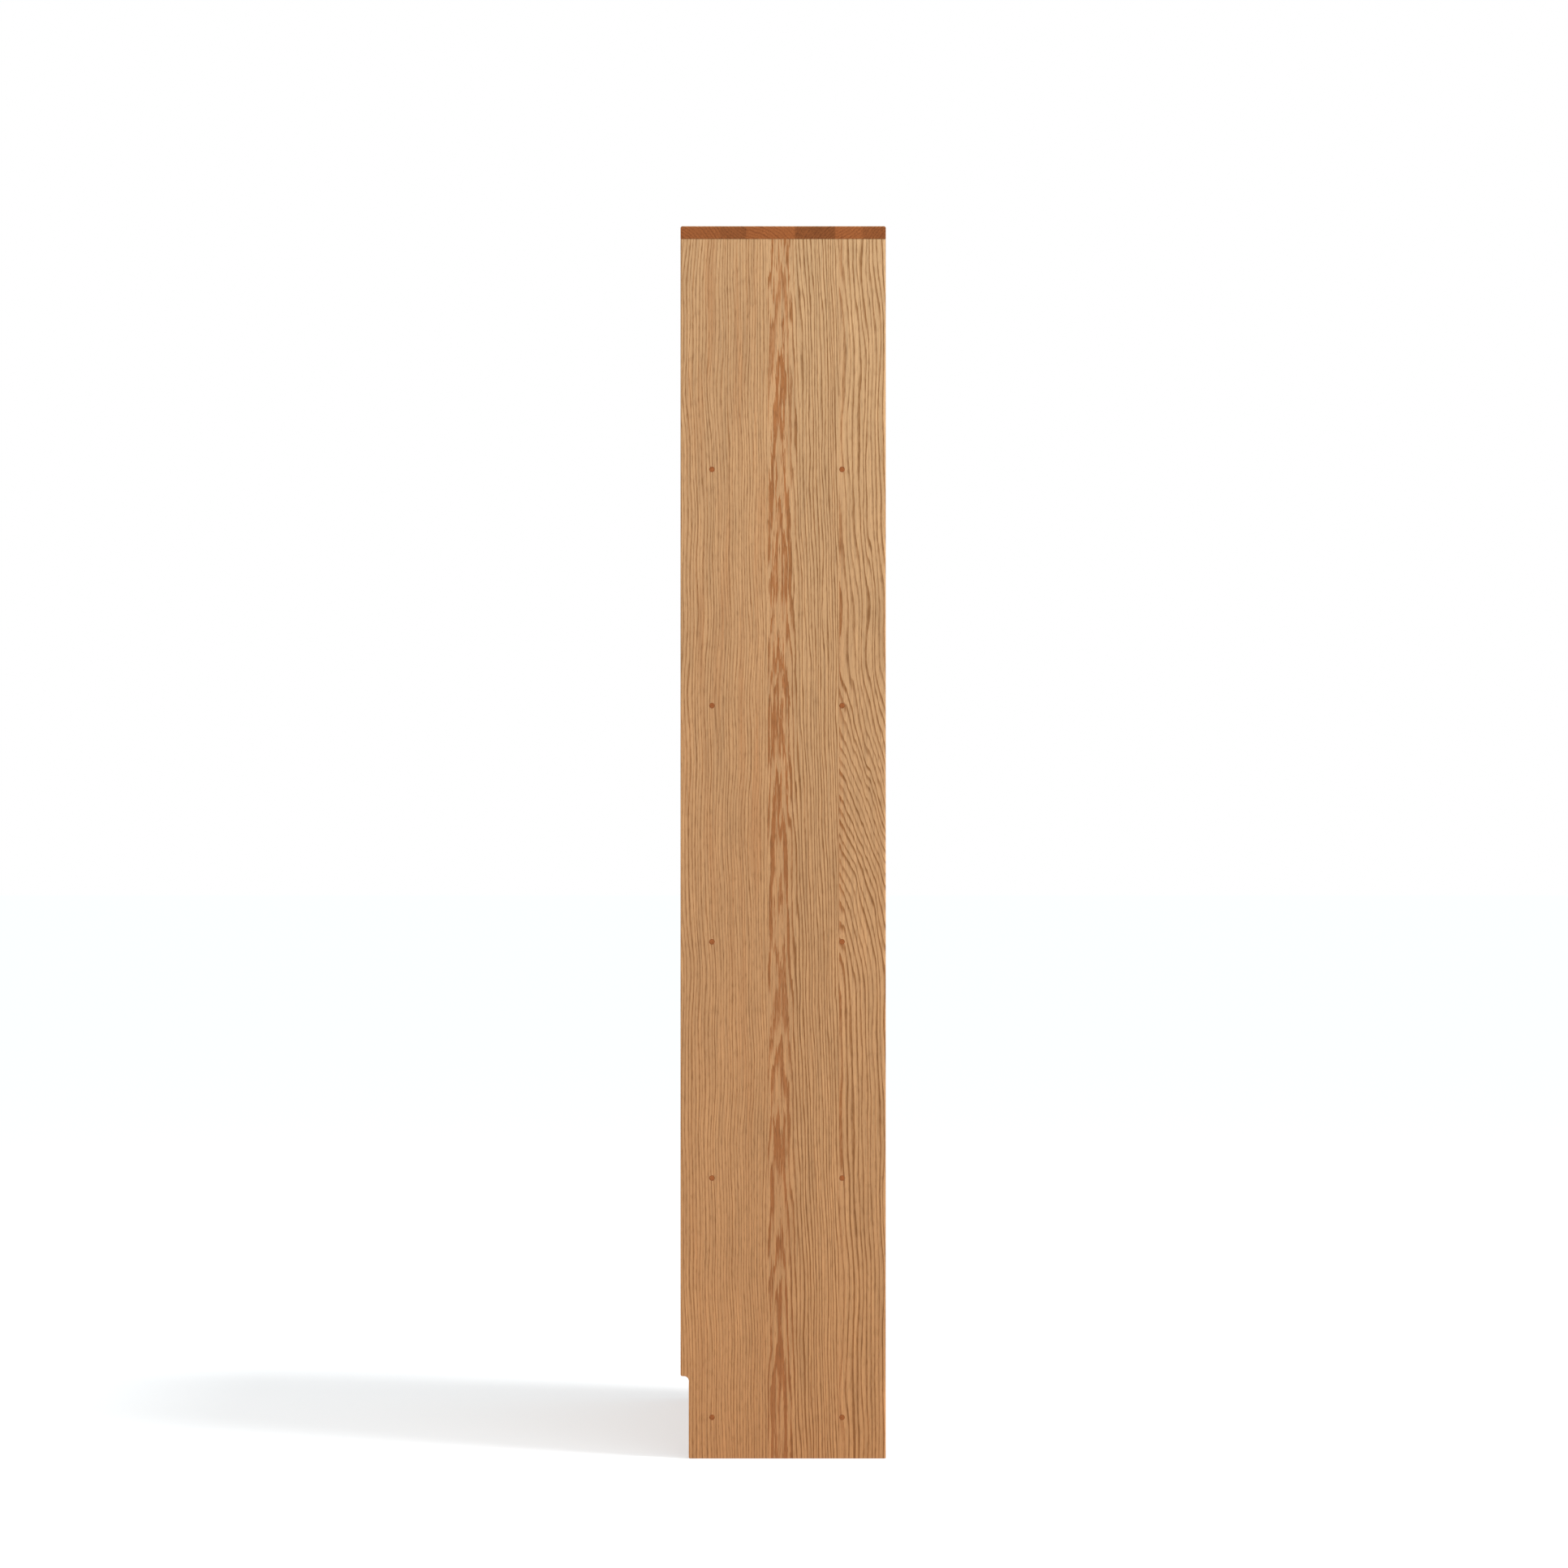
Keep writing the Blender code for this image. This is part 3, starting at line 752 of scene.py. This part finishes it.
def top_board():
    """The top board, which lies on the side panels and shows its end grain at both ends."""
    size = sizes()
    low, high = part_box("top_board")
    board = start_box("top", low, high)
    round_edges(board, [(Z, HEIGHT)], None, size.front_round, 5)
    soften(board, size.arris)
    cut_pin_bores(board, TOP_UNDERSIDE, 1)
    staves = [
        Stave(start=FRONT, pith=(-0.190, HEIGHT - 0.055), ring=0.0040, tone=-0.10, red=0.4),
        Stave(start=-0.116, pith=(-0.055, HEIGHT + 0.050), ring=0.0044, tone=0.16, red=0.3),
        Stave(start=-0.076, pith=(-0.110, HEIGHT - 0.060), ring=0.0042, tone=-0.20, red=0.5),
        Stave(start=-0.017, pith=(0.060, HEIGHT - 0.075), ring=0.0046, tone=0.14, red=0.3),
        Stave(start=0.054, pith=(0.010, HEIGHT + 0.060), ring=0.0040, tone=-0.14, red=0.5),
        Stave(start=0.091, pith=(0.170, HEIGHT - 0.050), ring=0.0046, tone=0.04, red=0.4),
    ]
    complete(board, oak("oak_top", X, Y, staves), CARCASS, "oak", "top_board")


def level_board(node, level):
    """A board between the side panels, with bores for its pegs in both ends."""
    size = sizes()
    low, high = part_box(node)
    low.x, high.x = size.seam - INNER_X, INNER_X - size.seam
    high.y = BACK_FRONT - size.seam
    board = start_box("board", low, high)
    round_edges(board, [(Y, low.y)], X, size.board_round, 4)
    soften(board, size.arris)
    peg_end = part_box(f"dowel_right_{level}_front")[0].x - size.seam
    cut_peg_bores(board, level, peg_end, INNER_X + OVERRUN)
    cut_peg_bores(board, level, -INNER_X - OVERRUN, -peg_end)
    return board


def fixed_boards():
    """The bottom and the divider, which carry doors, and the three shelves behind the doors."""
    bottom = level_board("bottom_board", "bottom")
    cut_pin_bores(bottom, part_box("bottom_board")[1].z, -1)
    shelf = level_board("shelf_1", "level_1")
    groups = ((bottom, ("bottom_board", "divider_shelf")), (shelf, ("shelf_1", "shelf_3", "shelf_4")))
    seed = SEED_BOARDS
    for shape, nodes in groups:
        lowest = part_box(nodes[0])[0].z
        places = [(f"oak_{node}", (0.0, 0.0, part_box(node)[0].z - lowest), None) for node in nodes]
        for node, board in zip(nodes, copies(shape, *places)):
            low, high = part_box(node)
            if node == "divider_shelf":
                cut_pin_bores(board, low.z, 1)
            staves = draw_staves(seed, low.y, high.y, BOARD_STAVE, high.z)
            complete(board, oak(f"oak_{node}", X, Y, staves), CARCASS, "oak", node)
            seed += 1


def plinth():
    """The board that closes the gap between the bottom board and the floor."""
    size = sizes()
    low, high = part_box("plinth_board")
    low.x, high.x = size.seam - INNER_X, INNER_X - size.seam
    board = start_box("plinth", low, high)
    round_edges(board, [(Y, low.y), (Z, low.z)], X, size.board_round, 4)
    soften(board, size.arris)
    staves = draw_staves(SEED_PLINTH, low.z, high.z, PLINTH_STAVE, low.y)
    complete(board, oak("oak_plinth", X, Z, staves), CARCASS, "oak", "plinth_board")


def back():
    """Vertical boards with a vee groove where they meet, on both faces."""
    size = sizes()
    low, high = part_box("back_panel")
    panel = start_box("back", low, high)
    count = round(2 * INNER_X / size.back_board)
    width = 2 * INNER_X / count
    starts = [-INNER_X + width * number for number in range(count)]
    middle = Vector((0.0, 0.0, (low.z + high.z) / 2))
    half = Vector((size.vee, size.vee, high.z - low.z)) / math.sqrt(2)
    vee = start_box("vee", middle - half, middle + half)
    in_edit_mode(vee, bpy.ops.transform.rotate, value=math.pi / 4, orient_axis="Z", center_override=middle)
    places = [("vee", (start, face, 0.0), None) for start in starts[1:] for face in (low.y, high.y)]
    cut(panel, *copies(vee, *places))
    soften(panel, size.arris / 3, 1)
    rng = random.Random(SEED_BACK)
    staves = [draw_stave(rng, start, width, high.y) for start in starts]
    complete(panel, oak("oak_back", Z, X, staves), CARCASS, "oak_back", "back_panel")


def pegs():
    """The wood pegs that pin the fixed boards, their ends sanded flush with the side panels."""
    size = sizes()
    nodes = [f"dowel_{word}_{level}_{place}" for _, word in SIDES for level in LEVELS for place in ENDS]
    boxes = [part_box(node) for node in nodes]
    peg = start_round("peg", (0.0, 0.0, 0.0), size.peg_radius, boxes[0][1].x - boxes[0][0].x, X)
    soften(peg, size.peg_chamfer, 1)
    stave = Stave(start=FRONT, pith=(0.02, 0.9), ring=0.0016, tone=0.20, contrast=0.8, red=0.2)
    material = oak("oak_pegs", X, Y, [stave], end=0.6)
    middles = [(low + high) / 2 for low, high in boxes]
    places = [(node.replace("dowel", "peg"), middle, None) for node, middle in zip(nodes, middles)]
    for node, twin in zip(nodes, copies(peg, *places)):
        complete(twin, material, CARCASS, "oak_end_grain", node)


# --- doors -----------------------------------------------------------------------------------------


def infill_name(tier):
    return "glass" if tier == "upper" else "panel"


def cut_infill_groove(member, tier):
    """The groove in a stile or rail that holds the glass or the panel."""
    size = sizes()
    low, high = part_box(f"{tier}_right_{infill_name(tier)}")
    room = Vector((3 * size.seam, size.seam, 3 * size.seam))
    cut(member, start_box("groove", low - room, high + room))


def opening_height(name):
    """Height of the middle of one of the record's openings."""
    for opening in frame["record"]["physics"]["openings"]:
        if opening["name"] == name:
            low, high = opening["box_m"]
            return (low[Z] + high[Z]) / 2
    raise RuntimeError(f"the record has no opening named {name}")


def hinge_stile(tier):
    """The upright that turns on the pins, its front corner rounded to clear the side panel."""
    size = sizes()
    low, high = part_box(f"{tier}_right_hinge_stile")
    upright = start_box("stile", low, high)
    round_edges(upright, [(X, high.x), (Y, low.y)], Z, size.hinge_round, 5)
    soften(upright, size.arris)
    for end, entry in (("bottom", low.z), ("top", high.z)):
        pin_low, pin_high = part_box(f"{tier}_right_pivot_{end}")
        deep = max(entry - pin_low.z, pin_high.z - entry) + size.seam
        centre = ((pin_low.x + pin_high.x) / 2, (pin_low.y + pin_high.y) / 2, entry)
        cut(upright, start_round("bore", centre, size.pin_radius + size.pin_clearance, 2 * deep))
    return upright


def meeting_stile(tier):
    """The upright in the middle of the cabinet, with the half-moon for a finger."""
    size = sizes()
    low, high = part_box(f"{tier}_right_meeting_stile")
    upright = start_box("stile", low, high)
    centre = (0.0, (low.y + high.y) / 2, opening_height(f"{tier}_finger_hole"))
    cut(upright, start_round("moon", centre, size.finger_radius, 2 * (high.y - low.y), Y, 64))
    soften(upright, size.arris * 1.5, 3)
    return upright


def rail(tier, end):
    """A crosspiece between the stiles, at the top or the bottom of a door."""
    size = sizes()
    low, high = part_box(f"{tier}_right_{end}_rail")
    low.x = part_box(f"{tier}_right_meeting_stile")[1].x + size.seam
    high.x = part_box(f"{tier}_right_hinge_stile")[0].x - size.seam
    crosspiece = start_box("rail", low, high)
    soften(crosspiece, size.arris)
    return crosspiece


def infill(tier):
    """The glass pane or the wood panel of a door."""
    size = sizes()
    shape = start_box("infill", *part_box(f"{tier}_right_{infill_name(tier)}"))
    soften(shape, size.arris / 2, 1 if tier == "upper" else 2)
    return shape


def doors(tier):
    """The left and right doors of a tier: two stiles, two rails and an infill each."""
    members = {
        "hinge_stile": (hinge_stile(tier), Z, X),
        "meeting_stile": (meeting_stile(tier), Z, X),
        "bottom_rail": (rail(tier, "bottom"), X, Z),
        "top_rail": (rail(tier, "top"), X, Z),
    }
    seed = SEED_DOORS + 10 * TIERS.index(tier)
    for kind, (shape, along, across) in members.items():
        cut_infill_groove(shape, tier)
        for word, twin in left_and_right(shape, f"{kind}_{tier}"):
            node = f"{tier}_{word}_{kind}"
            low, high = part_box(node)
            stave = draw_stave(random.Random(seed), low[across], high[across] - low[across], low.y)
            material = oak(f"oak_{node}", along, across, [stave])
            complete(twin, material, f"door_{tier}_{word}", "oak_door", node)
            seed += 1
    glass = pane_glass() if tier == "upper" else None
    for word, twin in left_and_right(infill(tier), f"{infill_name(tier)}_{tier}"):
        node = f"{tier}_{word}_{infill_name(tier)}"
        low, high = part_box(node)
        material = glass or oak(f"oak_{node}", Z, X, draw_staves(seed, low.x, high.x, PANEL_STAVE, low.y))
        complete(twin, material, f"door_{tier}_{word}", "glass" if glass else "oak_door", node)
        seed += 1


# --- fittings --------------------------------------------------------------------------------------


def pins():
    """Flanged brass pins: one end in the board, the flange in the gap, the other end in the door."""
    size = sizes()
    low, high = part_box("upper_right_pivot_top")
    centre = (low + high) / 2
    pin = start_round("pin", (0.0, 0.0, 0.0), size.pin_radius, high.z - low.z)
    soften(pin, size.arris / 2)
    door_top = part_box("upper_right_hinge_stile")[1].z
    gap = TOP_UNDERSIDE - door_top
    middle = (0.0, 0.0, door_top + gap / 2 - centre.z)
    flange = start_round("flange", middle, size.pin_flange, gap * 0.75, Z, 40)
    soften(flange, size.arris / 3)
    apply(pin, "BOOLEAN", operation="UNION", solver="EXACT", object=flange)
    bpy.data.objects.remove(flange)

    brass = metal("satin_brass", finish().brass, 0.30)
    rows = [(tier, word, end) for tier in TIERS for _, word in SIDES for end in ("top", "bottom")]
    nodes = [f"{tier}_{word}_pivot_{end}" for tier, word, end in rows]
    places = []
    for node, (tier, word, end) in zip(nodes, rows):
        low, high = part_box(node)
        places.append((f"pin_{tier}_{word}_{end}", (low + high) / 2, None if end == "top" else Z))
    for node, twin in zip(nodes, copies(pin, *places)):
        complete(twin, brass, CARCASS, "brass", node)


def screw_head(centre, axis, out):
    """A small raised countersunk head with a slot, set in a face; out is 1 or -1 along the axis."""
    centre = Vector(centre)
    centre[axis] += out * (SCREW_THICK / 2 - SCREW_SUNK)
    head = start_round("screw", centre, SCREW_RADIUS, SCREW_THICK, axis)
    soften(head, SCREW_ROUND, 3)
    half = Vector((SLOT_REACH, SLOT_HALF, SLOT_HALF))
    half[axis] = SLOT_DEEP
    centre[axis] += out * SCREW_THICK / 2
    cut(head, start_box("slot", centre - half, centre + half))
    return head


def by_tier(shape, name, drop, material, riders):
    """Copies of an upper right fitting for both tiers and both sides, which ride on the bodies of riders."""
    places, bodies = [], []
    for tier in TIERS:
        move = (0.0, 0.0, 0.0 if tier == "upper" else drop)
        for side, word in SIDES:
            places.append((f"{name}_{tier}_{word}", move, X if side < 0 else None))
            bodies.append(riders.format(tier=tier, word=word))
    for twin, body in zip(copies(shape, *places), bodies):
        complete(twin, material, body, "catch")


def catches():
    """Double magnetic catches under a board, and a screwed strike plate on each door."""
    size = sizes()
    plastic = moulded("catch_housing", finish().housing)
    steel = metal("zinc_steel", finish().steel, 0.34)
    low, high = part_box("upper_catch")
    middle = (low + high) / 2
    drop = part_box("lower_catch")[0].z - low.z
    front = low.y + size.sheet
    pole = Vector((POLE_OUT, front, middle.z))

    housing = start_box("catch", (low.x, front, low.z), high)
    soften(housing, size.sheet, 3)
    pocket = Vector(POCKET_HALF)
    for side, _ in SIDES:
        mouth = Vector((side * pole.x, pole.y, pole.z))
        cut(housing, start_box("pocket", mouth - pocket, mouth + pocket))
    places = [("catch_upper", (0.0, 0.0, 0.0), None), ("catch_lower", (0.0, 0.0, drop), None)]
    for tier, twin in zip(TIERS, copies(housing, *places)):
        complete(twin, plastic, CARCASS, "catch", f"{tier}_catch")
    head = screw_head((CATCH_SCREW_OUT, middle.y + CATCH_SCREW_BACK, low.z), Z, -1)
    by_tier(head, "catch_screw", drop, steel, CARCASS)

    for level, word in ((-1, "lower"), (1, "higher")):
        height = pole.z + level * POLE_RISE
        reach = Vector(POLE_HALF)
        inner = Vector((pole.x, front + POLE_DEEP, height)) + reach
        plate = start_box("pole", Vector((pole.x, low.y, height)) - reach, inner)
        soften(plate, 0.0002)
        by_tier(plate, f"{word}_pole", drop, steel, CARCASS)

    door_back, door_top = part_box("upper_right_meeting_stile")[1].yz
    foot = min(middle.z - STRIKE_BELOW_POLES, door_top - STRIKE_BELOW_DOOR_TOP)
    plate = start_box(
        "strike",
        (STRIKE_LEFT, door_back, foot - STRIKE_DOWN),
        (STRIKE_RIGHT, door_back + size.sheet, foot + STRIKE_UP),
    )
    round_edges(plate, [], Y, 0.002, 4)
    soften(plate, 0.00025)
    by_tier(plate, "strike", drop, steel, "door_{tier}_{word}")
    head = screw_head((POLE_OUT, door_back + size.sheet, foot - STRIKE_SCREW_DOWN), Y, 1)
    by_tier(head, "strike_screw", drop, steel, "door_{tier}_{word}")


# --- stage -----------------------------------------------------------------------------------------


def lamp(name, kind, energy, place, towards, **settings):
    """A lamp at a place, turned towards a point."""
    light = bpy.data.lights.new(name, kind)
    light.energy = energy
    for key, value in settings.items():
        setattr(light, key, value)
    holder = bpy.data.objects.new(name, light)
    holder.location = place
    holder.rotation_mode = "QUATERNION"
    holder.rotation_quaternion = (Vector(towards) - Vector(place)).to_track_quat("-Z", "Y")
    holder.visible_glossy = False
    holder.visible_transmission = False
    bpy.context.scene.collection.objects.link(holder)


def softbox(name, energy, place, towards, width, height):
    lamp(name, "AREA", energy, place, towards, shape="RECTANGLE", size=width, size_y=height)


def studio():
    """White glowing floor and sky, a soft key from the front left, three softboxes and the camera."""
    scene = bpy.context.scene
    scene.view_settings.view_transform = "Standard"
    bpy.ops.mesh.primitive_plane_add(size=80.0, location=(0.0, 0.0, -0.0006))
    floor = bpy.context.object
    floor.name = "studio_floor"
    white = Shader(bpy.data.materials.new("studio_floor")).set(
        Base_Color=finish().floor,
        Roughness=1.0,
        Specular_IOR_Level=0.0,
        Emission_Color=finish().glow,
        Emission_Strength=1.0,
    )
    floor.data.materials.append(white)

    sky = Shader(bpy.data.worlds.new("studio_sky"), "Background")
    sky.set(Color=(1.0, 1.0, 1.0), Strength=0.38)
    backdrop = sky.add("ShaderNodeBackground", {}, {"Color": (1.0, 1.0, 1.0), "Strength": 1.0})
    seen = sky.add("ShaderNodeLightPath", {}, {}, "Is Camera Ray")
    scene.world = sky.blend("World Output", seen, backdrop)

    lamp("key_sun", "SUN", 0.93, (0.0, 0.0, 0.0), (0.215, 0.452, -0.866), angle=math.radians(12))
    softbox("overhead", 20.0, (-0.2, -0.2, 4.0), (-0.2, -0.2, 0.0), 2.6, 2.6)
    softbox("front_fill", 74.0, (-1.2, -3.6, 1.9), (0.0, 0.0, 1.0), 2.4, 2.4)
    softbox("left_softbox", 24.0, (-2.6, -0.6, 3.4), (-0.4, 0.0, 1.2), 2.6, 1.8)

    camera = bpy.data.cameras.new("camera")
    camera.lens, camera.sensor_width = CAMERA_LENS, CAMERA_SENSOR
    eye = bpy.data.objects.new("camera", camera)
    eye.location = (-HALF_WIDTH - CAMERA_DISTANCE, CAMERA_ASIDE, CAMERA_HEIGHT)
    eye.rotation_euler = (math.pi / 2, 0.0, -math.pi / 2)
    scene.collection.objects.link(eye)
    scene.camera = eye


# --- operators -------------------------------------------------------------------------------------


class PANTRY_OT_stage(Operator):
    """Adds the floor, the lights and the camera"""

    bl_idname = "pantry.stage"
    bl_label = "Stage"

    def execute(self, context):
        studio()
        return {"FINISHED"}


class PANTRY_OT_side_panels(Operator):
    """Builds both side panels with their skirting notches and peg bores"""

    bl_idname = "pantry.side_panels"
    bl_label = "Side panels"

    def execute(self, context):
        side_panels()
        return {"FINISHED"}


class PANTRY_OT_boards(Operator):
    """Builds the top, the fixed boards and the plinth"""

    bl_idname = "pantry.boards"
    bl_label = "Boards"

    def execute(self, context):
        top_board()
        fixed_boards()
        plinth()
        return {"FINISHED"}


class PANTRY_OT_back(Operator):
    """Builds the boarded back"""

    bl_idname = "pantry.back"
    bl_label = "Back"

    def execute(self, context):
        back()
        return {"FINISHED"}


class PANTRY_OT_pegs(Operator):
    """Drives the wood pegs through the side panels"""

    bl_idname = "pantry.pegs"
    bl_label = "Pegs"

    def execute(self, context):
        pegs()
        return {"FINISHED"}


class PANTRY_OT_doors(Operator):
    """Builds the four framed doors with their glass and panels"""

    bl_idname = "pantry.doors"
    bl_label = "Doors"

    def execute(self, context):
        for tier in TIERS:
            doors(tier)
        return {"FINISHED"}


class PANTRY_OT_fittings(Operator):
    """Adds the pivot pins, the magnetic catches and their strike plates"""

    bl_idname = "pantry.fittings"
    bl_label = "Fittings"

    def execute(self, context):
        pins()
        catches()
        return {"FINISHED"}


class PANTRY_PT_sidebar(Panel):
    """Lists the cabinet's groups of pieces, its sizes and its colours"""

    bl_idname = "PANTRY_PT_sidebar"
    bl_label = "Pantry Cabinet"
    bl_space_type = "VIEW_3D"
    bl_region_type = "UI"
    bl_category = "Pantry"

    def draw(self, context):
        column = self.layout.column(align=True)
        for operator in OPERATORS:
            column.operator(operator.bl_idname)
        for group in (context.scene.pantry_sizes, context.scene.pantry_finish):
            column = self.layout.column(align=True)
            for name in group.__annotations__:
                column.prop(group, name)


OPERATORS = (
    PANTRY_OT_stage,
    PANTRY_OT_side_panels,
    PANTRY_OT_boards,
    PANTRY_OT_back,
    PANTRY_OT_pegs,
    PANTRY_OT_doors,
    PANTRY_OT_fittings,
)
CLASSES = (PantrySizes, PantryFinish, *OPERATORS, PANTRY_PT_sidebar)


def register():
    for item in CLASSES:
        bpy.utils.register_class(item)
    bpy.types.Scene.pantry_sizes = PointerProperty(type=PantrySizes)
    bpy.types.Scene.pantry_finish = PointerProperty(type=PantryFinish)


def unregister():
    del bpy.types.Scene.pantry_finish
    del bpy.types.Scene.pantry_sizes
    for item in reversed(CLASSES):
        bpy.utils.unregister_class(item)


def main():
    register()
    for operator in OPERATORS:
        group, name = operator.bl_idname.split(".")
        getattr(getattr(bpy.ops, group), name)()


if __name__ == "__main__":
    main()
